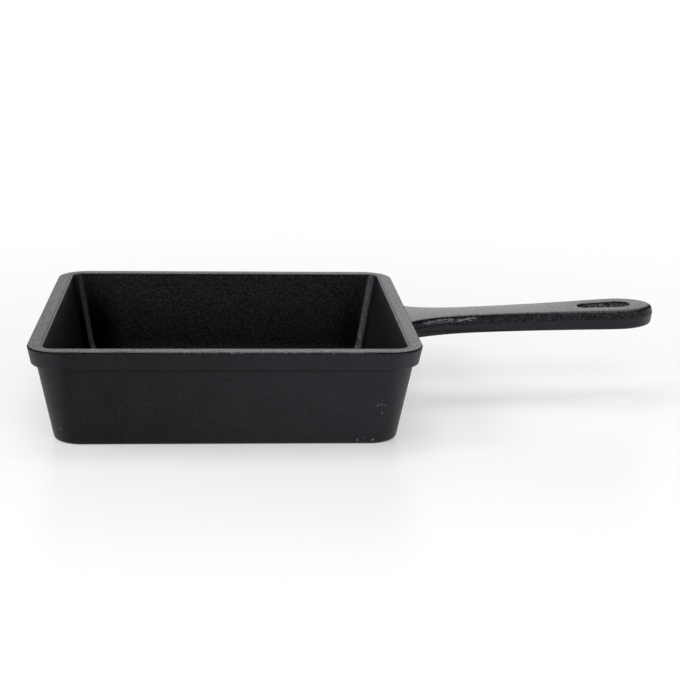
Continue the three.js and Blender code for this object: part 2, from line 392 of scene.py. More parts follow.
radius = w.number("MINIMUM", w.number("MAXIMUM", radius, size["Least Corner"]), half)
print("nodes with the corner rule:", len(w.tree.nodes))

# %% Placing the points and running the tree
warp = w.vector("SINE", w.scaled(on_square, math.pi / 2))
sharp = w.scaled(warp, half)
middle = w.number("SUBTRACT", half, radius)
far_corner = w.join(middle, middle, 0.0)
held = w.vector("MAXIMUM", w.vector("MINIMUM", sharp, far_corner), w.scaled(far_corner, -1.0))
swing = w.vector("NORMALIZE", w.vector("SUBTRACT", sharp, held))
rounded = w.vector("ADD", held, w.scaled(swing, radius))
placed = w.vector("ADD", rounded, w.join(0.0, 0.0, z))
net = w.node("GeometryNodeSetPosition", {"Geometry": net, "Position": placed}).outputs[0]
net = w.node("GeometryNodeMergeByDistance", {"Geometry": net, "Distance": MERGE_WITHIN}).outputs[0]
end_tree(net, size["Material"])

iron = bpy.data.materials.new("seasoned_iron")
casting = mesh_object("casting")
vessel_values = {"Section": section_object, "Points per Side": POINTS_PER_SIDE}
vessel_values |= {"Lean": LEAN, "Material": iron}
vessel_values |= {label: length * MM for label, length in vessel_lengths.items()}
make_plain(casting, w.tree, vessel_values)
close_up(casting)
bpy.data.objects.remove(section_object)
print("vessel faces:", len(casting.data.polygons))

# %% [markdown]
# ## The handle
# The handle is a flat bar that rises slightly. From above it flares out of the rim, narrows to a waist
# and swells round the hanging eye. A bevelled extrusion would give one even edge all round; here the top
# edge is tighter than the lower one, and the root runs out on the band above and on the wall below it.
# So the bar is lofted: each level of its edge is a curve from foot to tip, and faces join level to level.

# %% Handle sizes, in millimetres from the rim
HANDLE_LENGTH = 104.8
HANDLE_THICKNESS = 7.6
TIP_EXTRA, ROOT_EXTRA = 0.87, 0.65  # how much thicker it grows towards tip and rim
HANDLE_DROP = 2.4  # its top, below the top of the rim
HANDLE_RISE = math.radians(2.72)
ROOT_HALF = 20.8  # half widths, like the next two
WAIST_HALF = 8.55
EYE_HALF = 12.05
WAIST_AT = 29.4
END_LENGTH = 15.3  # from the widest place to the tip
ROOT_FILLET, ROOT_SINK = 5.0, 0.4

HANDLE_HALF = HANDLE_THICKNESS / 2
EYE_AT = HANDLE_LENGTH - END_LENGTH
handle_top = PAN_HEIGHT - HANDLE_DROP
root_depth = HANDLE_THICKNESS + ROOT_EXTRA + ROOT_FILLET
root_x = wall_half(handle_top - root_depth) - HALF_RIM - root_depth * math.sin(HANDLE_RISE) - ROOT_SINK
to_pan = (
    Matrix.Translation((HALF_RIM, 0, handle_top))
    @ Matrix.Rotation(-HANDLE_RISE, 4, "Y")
    @ Matrix.Translation((0, 0, -HANDLE_HALF))
)
print("handle from", round(root_x, 2), "to", HANDLE_LENGTH, "and widest at", round(EYE_AT, 2))

# %% Side curves of the handle, seen from above
FLARE_PULL = (0.81, 0.41)  # how strongly each end of a curve keeps its direction
GRIP_PULL = (0.56, 0.16)
END_PULL = (0.46, 0.56)
FLARE_STEPS, GRIP_STEPS, END_STEPS = 36, 44, 36


def bezier(points, steps):
    """Places and directions along one cubic curve."""
    t = np.linspace(0, 1, steps)[:, None]
    p = np.array(points, float)
    place = (1 - t) ** 3 * p[0] + 3 * t * (1 - t) ** 2 * p[1] + 3 * t**2 * (1 - t) * p[2] + t**3 * p[3]
    along = (1 - t) ** 2 * (p[1] - p[0]) + 2 * t * (1 - t) * (p[2] - p[1]) + t**2 * (p[3] - p[2])
    return place, along / np.linalg.norm(along, axis=1, keepdims=True)


def handle_side(foot_x):
    """One side of the handle: flare, grip and rounded end."""
    grip_span = EYE_AT - WAIST_AT
    flare = [
        (foot_x, ROOT_HALF),
        (foot_x, ROOT_HALF - FLARE_PULL[0] * (ROOT_HALF - WAIST_HALF)),
        (WAIST_AT - FLARE_PULL[1] * WAIST_AT, WAIST_HALF),
        (WAIST_AT, WAIST_HALF),
    ]
    grip = [
        (WAIST_AT, WAIST_HALF),
        (WAIST_AT + GRIP_PULL[0] * grip_span, WAIST_HALF),
        (EYE_AT - GRIP_PULL[1] * grip_span, EYE_HALF),
        (EYE_AT, EYE_HALF),
    ]
    end = [
        (EYE_AT, EYE_HALF),
        (EYE_AT + END_PULL[0] * END_LENGTH, EYE_HALF),
        (HANDLE_LENGTH, END_PULL[1] * EYE_HALF),
        (HANDLE_LENGTH, 0),
    ]
    parts = [bezier(flare, FLARE_STEPS), bezier(grip, GRIP_STEPS), bezier(end, END_STEPS)]
    return [np.concatenate(stack) for stack in zip(*parts)]


print("points along one side:", len(handle_side(root_x)[0]))

# %% Edges and draft of the handle
TOP_EDGE, LOWER_EDGE = 1.25, 1.1
TIP_TOP_EDGE = 2.5  # the top edge grows rounder along the end, up to this
SIDE_DRAFT, TIP_DRAFT = math.radians(3), math.radians(13)


def handle_edge(arc_steps=9, side_steps=3):
    """Inset and height of each level: rounded lower edge, side, rounded top edge."""
    turn = np.linspace(0, math.pi / 2, arc_steps + 1)
    low = np.stack([LOWER_EDGE * (1 - np.sin(turn)), LOWER_EDGE * (1 - np.cos(turn)) - HANDLE_HALF], 1)
    top = np.stack([TOP_EDGE * (1 - np.cos(turn)), HANDLE_HALF - TOP_EDGE * (1 - np.sin(turn))], 1)
    part = np.linspace(0, 1, side_steps + 1)[:, None]
    lower_side = low[-1] * (1 - part[1:])
    upper_side = top[0] * part[1:-1]
    return np.concatenate([low, lower_side, upper_side, top])


def thicken(x, z):
    """Heights below the parting line, stretched so that the handle grows thicker towards both ends."""
    to_tip = np.clip(x / HANDLE_LENGTH, 0, 1)
    to_rim = np.clip(1 - x / WAIST_AT, 0, 1)
    grown = 1 + (TIP_EXTRA * to_tip + ROOT_EXTRA * to_rim**2) / HANDLE_HALF
    return np.where(z < 0, z * grown, z)


def along_end(x):
    """Growth from nothing to one along the rounded end, slow at first."""
    return np.clip((x - EYE_AT) / END_LENGTH, 0, 1) ** 2


def side_lean(x, z):
    """Lean of the side away from the parting line. Under that line the rounded end leans more."""
    more = (TIP_DRAFT - SIDE_DRAFT) * along_end(x) if z < 0 else 0
    return np.tan(SIDE_DRAFT + more)


def rounder(x, z):
    """Heights above the parting line, drawn down where the top edge grows rounder along the end."""
    edge = TOP_EDGE + (TIP_TOP_EDGE - TOP_EDGE) * along_end(x)
    side = z * (HANDLE_HALF - edge) / (HANDLE_HALF - TOP_EDGE)
    arc = HANDLE_HALF - (HANDLE_HALF - z) * edge / TOP_EDGE
    return np.where(z > HANDLE_HALF - TOP_EDGE, arc, side)


def root_drop(x):
    """How far the fillet under the root carries the underside down."""
    within = np.clip(root_x + ROOT_FILLET - x, 0, ROOT_FILLET)
    return ROOT_FILLET - np.sqrt(ROOT_FILLET**2 - within**2)


print("levels of the edge:", len(handle_edge()))

# %% Lofting the handle
def handle_level(inset, z):
    """One level of the edge, from foot to tip: the side curve, drawn in by the rounding and the draft."""
    on_band = band_half(handle_top - HANDLE_HALF + z) - HALF_RIM - ROOT_SINK
    place, along = handle_side(on_band if z >= 0 else root_x)
    out = place[:, 0]
    growth = 1 + (TIP_TOP_EDGE / TOP_EDGE - 1) * along_end(out) if z > 0 else 1
    drawn_in = inset * growth + abs(z) * side_lean(out, z)
    x = out + along[:, 1] * drawn_in
    y = np.maximum(place[:, 1] - along[:, 0] * drawn_in, 0)
    height = thicken(x, z) - root_drop(x) if z < 0 else rounder(out, z)
    return np.stack([x, y, height], 1)


def placed_loft(name, rings, start, end=None):
    """A closed loft in the handle's frame. Its ends are drawn in to a point, or closed already."""
    count, around, _ = rings.shape
    vertices = [tuple(point) for point in rings.reshape(-1, 3)]
    faces = []
    for low in range(0, (count - 1) * around, around):
        high = low + around
        for j in range(around):
            k = (j + 1) % around
            faces.append((low + j, low + k, high + k, high + j))
    for tip, row in ((start, 0), (end, count - 1)):
        if tip is None:
            continue
        faces += [(len(vertices), row * around + j, row * around + (j + 1) % around) for j in range(around)]
        vertices.append(tip)
    placed = [(to_pan @ Vector(v)) * MM for v in vertices]
    return mesh_object(name, placed, faces)


near_side = np.stack([handle_level(inset, z) for inset, z in handle_edge()], 1)
far_side = near_side[:, ::-1] * (1, -1, 1)
bar = placed_loft("handle_bar", np.concatenate([near_side, far_side], 1), start=(root_x, 0, 0))
print("handle faces:", len(bar.data.polygons))

# %% [markdown]
# ## The hanging eye
# The eye is a teardrop slot with rolled edges on both faces, wide enough for a hook. Cutting a straight
# hole and rounding it afterwards is fragile, so the cutter itself has the rolled shape: it spreads where
# it meets each face, and runs on a little past both.

# %% Cutter of the hanging eye
SLOT_TIP_WALL = 9.8  # iron between the slot and the tip
SLOT_SPAN = 13.3  # between the centres of the slot's two round ends
SLOT_FAR_RADIUS, SLOT_NEAR_RADIUS = 5.0, 3.9
SLOT_EDGE = 0.6
CUT_PAST = 2.0
SLOT_FAR_AT = HANDLE_LENGTH - SLOT_TIP_WALL - SLOT_FAR_RADIUS
SLOT_NEAR_AT = SLOT_FAR_AT - SLOT_SPAN


def teardrop(grow, z, steps=40):
    """The slot's outline, grown all round: a wide far end and a narrow near end, joined by tangents."""
    turn = math.acos((SLOT_NEAR_RADIUS - SLOT_FAR_RADIUS) / SLOT_SPAN)
    far_end = np.linspace(-turn, turn, steps)
    near_end = np.linspace(turn, 2 * math.pi - turn, steps)
    far_radius, near_radius = SLOT_FAR_RADIUS + grow, SLOT_NEAR_RADIUS + grow
    far_x = SLOT_FAR_AT + far_radius * np.cos(far_end)
    near_x = SLOT_NEAR_AT + near_radius * np.cos(near_end)
    x = np.concatenate([far_x, near_x])
    y = np.concatenate([far_radius * np.sin(far_end), near_radius * np.sin(near_end)])
    return np.stack([x, y, thicken(x, z)], 1)


roll = [
    (SLOT_EDGE * (1 - math.sin(turn)), HANDLE_HALF - SLOT_EDGE * (1 - math.cos(turn)))
    for turn in np.linspace(0, math.pi / 2, 9)
]
spread = [(SLOT_EDGE, HANDLE_HALF + CUT_PAST)] + roll
slot_rings = [teardrop(grow, -z) for grow, z in spread] + [teardrop(grow, z) for grow, z in reversed(spread)]
slot_cutter = placed_loft(
    "slot_cutter",
    np.stack(slot_rings),
    start=(SLOT_FAR_AT, 0, float(thicken(SLOT_FAR_AT, -HANDLE_HALF - CUT_PAST))),
    end=(SLOT_FAR_AT, 0, HANDLE_HALF + CUT_PAST),
)
print("slot length:", round(SLOT_SPAN + SLOT_FAR_RADIUS + SLOT_NEAR_RADIUS, 1))

# %% [markdown]
# ## Joining the bar and cutting the eye
# Iron that is poured in one go has no joint. The bar could just be pushed into the wall, but its hidden
# end would stay inside, and the skin couldn't be divided cleanly later. So bar and vessel become one closed
# skin by a boolean union. The faces must close exactly for that, which is why doubles were merged and
# normals turned out before.

# %% Union and cut
for tool, operation in ((bar, "UNION"), (slot_cutter, "DIFFERENCE")):
    boolean = casting.modifiers.new(operation, "BOOLEAN")
    boolean.operation = operation
    boolean.object = tool
    boolean.solver = "MANIFOLD"
bake_modifiers(casting)
for tool in (bar, slot_cutter):
    bpy.data.objects.remove(tool)
close_up(casting)
print("casting faces:", len(casting.data.polygons))

# %% [markdown]
# ## A skin that sand has shaped
# No face of a sand casting is truly flat. Bump in the finish could fake that, but it wouldn't move the
# outline. So a second geometry tree follows the surface and draws it in by a few hundredths of a
# millimetre in slow waves, and highlights wander a little. It only ever draws inwards, so that the pan
# keeps its outside size. The finer grain is left to the finish, where it costs no faces.

# %% Geometry tree of the cast skin
SKIN_DEPTH = 0.08
SKIN_WAVE = 30.0
SKIN_SEED = 3.0
skin_inputs = dict.fromkeys(("Depth", "Wave Length", "Seed"), "NodeSocketFloat")
skin_inputs |= {"Material": "NodeSocketMaterial"}
w, size = geometry_tree("cast_skin", skin_inputs)
waves = w.node(
    "ShaderNodeTexNoise",
    {
        "Vector": w.node("GeometryNodeInputPosition").outputs[0],
        "W": size["Seed"],
        "Scale": w.number("DIVIDE", 1.0, size["Wave Length"]),
        "Detail": 2.0,
    },
    noise_dimensions="4D",
).outputs[0]
inward = w.number("MULTIPLY", w.number("MULTIPLY", waves, size["Depth"]), -1.0)
normal = w.node("GeometryNodeInputNormal").outputs[0]
drawn_in = {"Geometry": size["Geometry"], "Offset": w.scaled(normal, inward)}
end_tree(w.node("GeometryNodeSetPosition", drawn_in).outputs[0], size["Material"])
skin_values = {"Depth": SKIN_DEPTH * MM, "Wave Length": SKIN_WAVE * MM, "Seed": SKIN_SEED, "Material": iron}
make_plain(casting, w.tree, skin_values)
print("casting after its skin:", len(casting.data.vertices), "points")

# %% [markdown]
# ## Two named pieces from one casting
# The parts library has the handle as a piece of its own, although the real pan has no seam. Two separate
# meshes that only touch would show a step where their skins differ. So one flat plane just outside the rim
# divides the finished skin, and both sides of the plane carry the same edge.

# %% Dividing the casting
DIVIDE_PAST_RIM = 1.5
SHARP_FROM = math.radians(38)


def piece_of(name, keep_beyond):
    """The casting on one side of the dividing plane, closed by a flat face."""
    bm = bmesh.new()
    bm.from_mesh(casting.data)
    bmesh.ops.bisect_plane(
        bm,
        geom=bm.verts[:] + bm.edges[:] + bm.faces[:],
        dist=MERGE_WITHIN / 10,
        plane_co=((HALF_RIM + DIVIDE_PAST_RIM) * MM, 0, 0),
        plane_no=(1, 0, 0),
        clear_inner=keep_beyond,
        clear_outer=not keep_beyond,
    )
    bmesh.ops.holes_fill(bm, edges=[edge for edge in bm.edges if edge.is_boundary], sides=0)
    bmesh.ops.recalc_face_normals(bm, faces=bm.faces)
    open_edges = sum(not edge.is_manifold for edge in bm.edges)
    mesh = bpy.data.meshes.new(name)
    bm.to_mesh(mesh)
    bm.free()
    mesh.polygons.foreach_set("use_smooth", np.ones(len(mesh.polygons), bool))
    mesh.set_sharp_from_angle(angle=SHARP_FROM)
    mesh.materials.clear()
    mesh.materials.append(iron)
    obj = bpy.data.objects.new(name, mesh)
    scene.collection.objects.link(obj)
    print(name, "faces:", len(mesh.polygons), "open edges:", open_edges)
    return obj


cast_pan = piece_of("cast_pan", keep_beyond=False)
cast_handle = piece_of("cast_handle", keep_beyond=True)
bpy.data.objects.remove(casting)

# %% [markdown]
# ## The finish: seasoned iron
# Seasoning is baked oil: near-black, dull from the front, and shiny only when looked along. A dark base
# with a broad gloss gives that by itself, since gloss rises at low angles. Pictures of iron could be
# wrapped round the pan, but they would stretch at its corners and bring their own light with them. So the
# finish is worked out from places on the pan. Each place is a mask, one on a certain face or edge and
# nothing elsewhere, with its limits in millimetres of the pan's own frame.

# %% Coordinates of the finish
iron.use_nodes = True
iron.node_tree.nodes.clear()
w = Wiring(iron.node_tree)
place = w.scaled(w.node("ShaderNodeTexCoord").outputs["Object"], 1 / MM)
x, y, z = w.split(place)
from_rim = w.number("SUBTRACT", PAN_HEIGHT, z)
past_rim = w.number("SUBTRACT", x, HALF_RIM)
top_line = w.number("MULTIPLY_ADD", past_rim, math.tan(HANDLE_RISE), handle_top)
from_top = w.number("SUBTRACT", top_line, z)
print("coordinate nodes:", len(w.tree.nodes))

# %% Tools for masks
def noise(per_mm, detail, roughness, vector=place):
    sockets = {"Vector": vector, "Scale": per_mm, "Detail": detail, "Roughness": roughness}
    return w.node("ShaderNodeTexNoise", sockets).outputs[0]


def full_range(noise_value, low=0.0, high=1.0):
    """Noise keeps near its middle, so the middle part of it is drawn out to the whole range."""
    return w.ramp(noise_value, 0.3, 0.7, low, high)


def both(*masks):
    """Where all the masks hold. A plain number in the list weakens the result by that much."""
    made = masks[0]
    for mask in masks[1:]:
        made = w.number("MULTIPLY", made, mask)
    return made


def either(*masks):
    """Where at least one of the masks holds."""
    made = masks[0]
    for mask in masks[1:]:
        made = w.number("MAXIMUM", made, mask)
    return made


def below(value, limit, soft):
    """One below the limit, falling to nothing over a soft stretch above it."""
    return w.ramp(value, limit, limit + soft, 1.0, 0.0)


def above(value, limit, soft):
    """One above the limit, falling to nothing over a soft stretch below it."""
    return w.ramp(value, limit - soft, limit)


def between(value, low, high, soft):
    return both(above(value, low, soft), below(value, high, soft))


def blend(mask, first, second):
    """The first number where the mask is nothing, the second where it is one."""
    return w.ramp(mask, 0.0, 1.0, first, second)


rag = w.number("SUBTRACT", noise(per_mm=0.9, detail=3.0, roughness=0.7), 0.5)


def ragged(value, amount):
    """The value, moved to and fro by noise, so that an edge laid along it looks torn."""
    return w.number("MULTIPLY_ADD", rag, amount, value)


print("nodes with the noise for ragged edges:", len(w.tree.nodes))

# %% [markdown]
# ### Rim, band and inside
# The flat top of the rim was ground after casting, and its outer edge carries a black line: painted shade
# where the rounded edge turns from the light.
# These could be painted face by face on the mesh, but then each edge would be as coarse as the mesh.
# Distances from two rounded squares, the outside and the inside of the rim, give edges as fine as wanted.

# %% Masks on the vessel
def outside_square(half, radius):
    """Distance from a square with round corners, seen from above; less than nothing inside it."""
    straight = half - radius
    across = w.vector("SUBTRACT", w.vector("ABSOLUTE", place), (straight, straight, 0.0))
    along, over, _ = w.split(across)
    corner = w.join(w.number("MAXIMUM", along, 0.0), w.number("MAXIMUM", over, 0.0), 0.0)
    away = w.node("ShaderNodeVectorMath", {0: corner}, operation="LENGTH").outputs["Value"]
    flat = w.number("MINIMUM", w.number("MAXIMUM", along, over), 0.0)
    return w.number("SUBTRACT", w.number("ADD", away, flat), radius)


UNDER_COOKING_FLOOR = FLOOR_THICKNESS - 1.5
CREASE_LINE = 0.4
past_inner = outside_square(HALF_RIM - RIM_WIDTH, INSIDE_CORNER)
past_outer = outside_square(HALF_RIM, OUTSIDE_CORNER + BAND_STEP)
past_cavity = w.number("MULTIPLY_ADD", from_rim, LEAN, past_inner)
in_cavity = both(below(past_cavity, 0.1, soft=0.15), above(z, UNDER_COOKING_FLOOR, soft=1.0))
on_rim_top = both(below(from_rim, 0.1, soft=0.2), below(in_cavity, 0.2, soft=0.6))
on_outer_edge = both(
    above(ragged(past_outer, 0.6), -0.35, soft=0.3),
    below(ragged(from_rim, 1.2), 0.45, soft=0.5),
    below(past_outer, RIM_EDGE, soft=0.3),
)
on_inner_edge = both(between(past_inner, 0.75, 1.0, soft=0.2), below(from_rim, 0.3, soft=0.1))
# The crease under the band, where a black line paints its shade.
in_crease = both(
    between(from_rim, BAND_HEIGHT, BAND_HEIGHT + CREASE_LINE, soft=0.3),
    above(past_outer, -RIM_WIDTH + 0.2, soft=0.5),
)
print("nodes with the masks on the vessel:", len(w.tree.nodes))

# %% [markdown]
# ### Handle and eye
# The top of the handle was ground like the rim. Its side has two halves, above and below the line where
# the two halves of the sand mould met, and they lean different ways. The masks follow the sloping top of
# the handle, not the level of the table, because every feature of the handle rises with it.

# %% Masks on the handle
EYE_START = SLOT_NEAR_AT - SLOT_NEAR_RADIUS - 0.7
EYE_END = SLOT_FAR_AT + SLOT_FAR_RADIUS + SLOT_EDGE
EYE_REACH = SLOT_FAR_RADIUS + 2 * SLOT_EDGE
on_handle = above(past_rim, 1.0, soft=0.6)
in_eye = both(
    between(past_rim, EYE_START, EYE_END, soft=0.3),
    below(w.number("ABSOLUTE", y), EYE_REACH, soft=0.3),
    above(from_top, 0.35, soft=0.3),
)
on_eye_edge = both(
    in_eye,
    either(
        below(ragged(from_top, 1.8), 0.6, soft=0.4),
        below(past_rim, EYE_START + 2.0, soft=1.2),
    ),
)
on_handle_top = both(on_handle, below(from_top, 0.25, soft=0.25))
# Along the handle's top edge, where a black line paints the shade of its rounding.
on_handle_edge = both(
    on_handle,
    between(ragged(from_top, 0.4), 0.45, 1.1, soft=0.25),
    below(in_eye, 0.0, soft=0.5),
    either(w.ramp(past_rim, 15.0, 60.0, 1.0, 0.15), w.ramp(past_rim, 90.0, 102.0, 0.0, 0.9)),
)
upper_side = both(on_handle, between(from_top, 0.9, HANDLE_HALF - 0.2, soft=0.4))
lower_side = both(on_handle, above(from_top, HANDLE_HALF + 0.3, soft=0.4))
ground = either(on_rim_top, on_handle_top)
print("nodes with the masks on the handle:", len(w.tree.nodes))

# %% [markdown]
# ### Inside walls and corners
# Looked at from the front, the inside corners show as pale lines with darkness beside each, because the
# rounded corner catches light that the walls next to it miss. The finish paints both: a highlight on each
# corner and shade beside it. A corner is where a point lies as far out sideways as it lies back, so the lead
# of one over the other tells side walls, corners and back wall apart. All of it stops above the cooking
# floor, where the same rule would draw a cross.

# %% Masks on the inside walls
INNER_REACH = 60.0
ABOVE_COOKING_FLOOR = FLOOR_THICKNESS + 1.7


def left_to_right(left, right):
    """A number that changes from the left end of the inside to the right end."""
    return w.ramp(x, -INNER_REACH, INNER_REACH, left, right)


side_lead = w.number("SUBTRACT", w.number("ABSOLUTE", x), w.number("ABSOLUTE", y))
on_wall = both(in_cavity, above(z, ABOVE_COOKING_FLOOR, soft=1.5))
on_side_wall = both(above(side_lead, 4.5, soft=2.0), on_wall)
past_corner = w.number("SUBTRACT", side_lead, left_to_right(-1.1, 0.3))
in_corner = both(above(side_lead, -2.3, soft=1.7), below(past_corner, 0.0, soft=1.7), on_wall)
# Painted shade beside the inside corners, deeper low down and on the left; it darkens the colour and the
# mirror strength there.
painted_corner_shade = both(
    between(side_lead, -6.0, 4.0, soft=16.0),
    below(in_corner, 0.0, soft=0.5),
    below(x, INNER_REACH, soft=10.0),
    on_wall,
    w.ramp(z, 14.0, 37.0, 1.0, 0.35),
    left_to_right(0.9, 0.55),
)
print("nodes with the masks on the inside walls:", len(w.tree.nodes))

# %% [markdown]
# ### Grain
# Sand leaves its grain on every face that wasn't ground. It could be real relief, but a grain this fine
# would take millions of faces, so a bump does it. Heights are in millimetres, so that the grain has a real
# depth. The pebbles inside are about a millimetre across, which is what coarse moulding sand leaves.

# %% Grain
PEBBLE_DEPTH, SIDE_PEBBLE_DEPTH = 0.12, 0.09
SAND_DEPTH, UPPER_SIDE_DEPTH, GROUND_DEPTH = 0.14, 0.3, 0.03
pebble = full_range(noise(per_mm=1.45, detail=3.0, roughness=0.7))
fine = noise(per_mm=1.7, detail=2.0, roughness=0.6)
pebble_depth = both(in_cavity, blend(on_side_wall, PEBBLE_DEPTH, SIDE_PEBBLE_DEPTH))
fine_depth = blend(ground, blend(upper_side, SAND_DEPTH, UPPER_SIDE_DEPTH), GROUND_DEPTH)
grain = w.number("ADD", w.number("MULTIPLY", pebble, pebble_depth), w.number("MULTIPLY", fine, fine_depth))
bump = w.node("ShaderNodeBump", {"Strength": 1.0, "Distance": MM, "Height": grain}).outputs[0]
print("deepest grain in mm:", max(PEBBLE_DEPTH + SAND_DEPTH, UPPER_SIDE_DEPTH))

# %% [markdown]
# ### Wear
# A pan that has been moved about shows it on its edges: a bright, ragged streak where the handle's edge
# was ground after casting, a few chips low on the front, and one rust spot. Random chips could be strewn
# all over, but real ones gather where the pan was knocked. So each is a small patch of paler metal, placed
# by distance from a spot and broken up by noise so that no outline looks drawn.

# %% Ground streak and flecks
STREAK_STRETCH = (0.45, 1.0, 2.2)
streaked = noise(per_mm=1.0, detail=4.0, roughness=0.7, vector=w.vector("MULTIPLY", place, STREAK_STRETCH))
ground_streak = both(
    between(past_rim, 9.0, 26.0, soft=5.0),
    below(y, 0.0, soft=1.0),
    between(ragged(from_top, 1.2), 1.1, 2.3, soft=0.35),
    w.ramp(streaked, 0.42, 0.58),
)
sparkle = w.ramp(noise(per_mm=1.4, detail=2.0, roughness=0.7), 0.35, 0.72)
eye_flecks = both(in_eye, below(on_eye_edge, 0.0, soft=0.6), blend(sparkle, 0.15, 0.7))
edge_flecks = both(
    on_outer_edge,
    below(y, -60.0, soft=5.0),
    between(x, -10.0, 40.0, soft=25.0),
    w.ramp(rag, 0.0, 0.12),
)
bare = either(both(ground_streak, 0.95), eye_flecks, both(edge_flecks, 0.6))
print("nodes with streak and flecks:", len(w.tree.nodes))

# %% Chips and the rust spot
CHIPS = (
    # along the front wall, up it, and the radius before noise tears the edge
    (55.6, 18.7, 0.0),
    (57.5, 16.5, 0.15),
    (58.6, 16.8, 0.15),
    (60.1, 16.5, 0.05),
    (59.2, 13.3, 0.1),
    (50.1, 1.8, 0.1),
    (52.8, 2.8, -0.1),
    (56.1, 2.0, 0.15),
    (-62.8, 6.2, 0.1),
)
RUST_PLACE, RUST_RADIUS = (152.9, -11.9, 40.3), 0.5
on_front = w.vector("MULTIPLY", place, (1.0, 0.0, 1.0))
torn = w.number("SUBTRACT", noise(per_mm=2.2, detail=2.0, roughness=0.6), 0.5)


def chip(along, up, radius):
    gap = w.distance(on_front, (along, 0.0, up))
    return below(w.number("MULTIPLY_ADD", torn, 1.4, gap), radius, soft=0.3)


chips = both(either(*[chip(*spot) for spot in CHIPS]), below(y, -62.0, soft=2.0))
rust = below(ragged(w.distance(place, RUST_PLACE), 0.8), RUST_RADIUS, soft=0.3)
print("chips:", len(CHIPS), "rust spots: 1")

# %% [markdown]
# ### Colour
# Baked oil is almost black, a little bluish, and clouded. One flat black would look like plastic, so the
# shade follows the grain: oil gathers between the pebbles, which makes low spots darker than crests even
# where the light is too soft to shade them. Ground faces are speckled, and bare metal is far paler.

# %% Colour
CLOUD = (0.005, 0.007)  # shares of light given back, from the darkest spots to the palest
FINE_SHADE = (-0.004, 0.004)
GROUND_SHADE = (0.0, 0.1)
UPPER_SIDE_SHADE = (0.002, 0.024)
INSIDE_SHADE = (0.001, 0.009)
BARE_SHADE = (0.08, 0.22)
LOW_CHIP_SHADE, HIGH_CHIP_SHADE = 0.2, 0.1
BLUISH = (1.0, 1.02, 1.12)
RUST_COLOUR = (0.22, 0.09, 0.035)
mottle = noise(per_mm=0.07, detail=5.0, roughness=0.6)
speckle = noise(per_mm=2.0, detail=1.0, roughness=0.5)
shade_outside = w.number("ADD", w.ramp(mottle, 0.35, 0.65, *CLOUD), full_range(fine, *FINE_SHADE))
shade_outside = blend(ground, shade_outside, full_range(speckle, *GROUND_SHADE))
shade_outside = blend(upper_side, shade_outside, blend(sparkle, *UPPER_SIDE_SHADE))
# Beside the inside corners the colour is darkened too: painted shade.
shade_inside = both(blend(pebble, *INSIDE_SHADE), blend(painted_corner_shade, 1.0, 0.0))
shade = blend(in_cavity, shade_outside, shade_inside)
shade = blend(bare, shade, full_range(fine, *BARE_SHADE))
shade = blend(chips, shade, w.ramp(z, 2.5, 6.0, LOW_CHIP_SHADE, HIGH_CHIP_SHADE))
tint = w.vector("MULTIPLY", w.join(shade, shade, shade), BLUISH)
rusted = {"Factor": rust, "A": tint, "B": RUST_COLOUR}
tint = w.node("ShaderNodeMix", rusted, data_type="VECTOR").outputs[1]
print("nodes with the colour:", len(w.tree.nodes))

# %% [markdown]
# ### How strongly the oil film mirrors, and where reflections are painted
# One strength all over would be simpler, but then only the lamps could tell these places apart. Along the
# front wall the strength rises from left to right and at both rounded ends, and it rises again near the tip
# of the handle: painted reflections. Inside it is highest in the corners, a painted highlight for the light
# that the corners catch on the real pan; it is lowered beside them and towards the bottom of the back wall,
# which paints shade, and it rises towards the right, which paints light.

# %% Mirror strength outside
LOWER_SIDE_MIRROR = 0.33
UPPER_SIDE_MIRROR = (0.12, 0.2)
RIM_TOP_MIRROR = (0.07, 0.32)
HANDLE_TOP_MIRROR = (0.13, 0.42)
TIP_GAIN = 1.6
# Painted reflections: the front wall mirrors more from left to right and at both rounded ends, and the tip
# more than the rest of the handle.
front_painted_reflection = w.ramp(x, -70.0, 70.0, 0.14, 0.3)
left_end = w.ramp(x, -66.0, -57.0, 0.27, 0.1)
right_end = both(w.ramp(x, 56.0, 68.0, 0.1, 0.42), below(past_rim, 0.0, soft=1.0))
near_tip = above(past_rim, HANDLE_LENGTH - 2.8, soft=5.0)
mirror = either(front_painted_reflection, left_end, right_end)
mirror = blend(upper_side, mirror, blend(sparkle, *UPPER_SIDE_MIRROR))
mirror = blend(lower_side, mirror, LOWER_SIDE_MIRROR)
mirror = both(mirror, blend(near_tip, 1.0, TIP_GAIN))
mirror = blend(on_rim_top, mirror, full_range(speckle, *RIM_TOP_MIRROR))
mirror = blend(on_handle_top, mirror, full_range(speckle, *HANDLE_TOP_MIRROR))
print("nodes with the mirror strength outside:", len(w.tree.nodes))

# %% Mirror strength inside
BACK_WALL_MIRROR = (0.04, 0.22)  # low spots and crests of the pebbles
SIDE_WALL_MIRROR = (0.03, 0.36)
CORNER_MIRROR = (0.35, 1.0)
# Painted shade: the back wall mirrors less towards its bottom, and the side walls less on the left than on
# the right.
back_wall_mirror = both(blend(pebble, *BACK_WALL_MIRROR), w.ramp(z, 4.0, 34.0, 0.36, 0.97))
side_wall_mirror = both(blend(pebble, *SIDE_WALL_MIRROR), left_to_right(0.8, 1.4))
# Painted highlight: the inside corners mirror most, standing in for the light that they catch.
painted_corner_highlight = both(w.ramp(pebble, 0.2, 0.8, *CORNER_MIRROR), left_to_right(0.65, 1.05))
wall_mirror = both(blend(on_side_wall, back_wall_mirror, side_wall_mirror), blend(painted_corner_shade, 1.0, 0.0))
mirror = blend(in_cavity, mirror, blend(in_corner, wall_mirror, painted_corner_highlight))
print("nodes with the mirror strength inside:", len(w.tree.nodes))
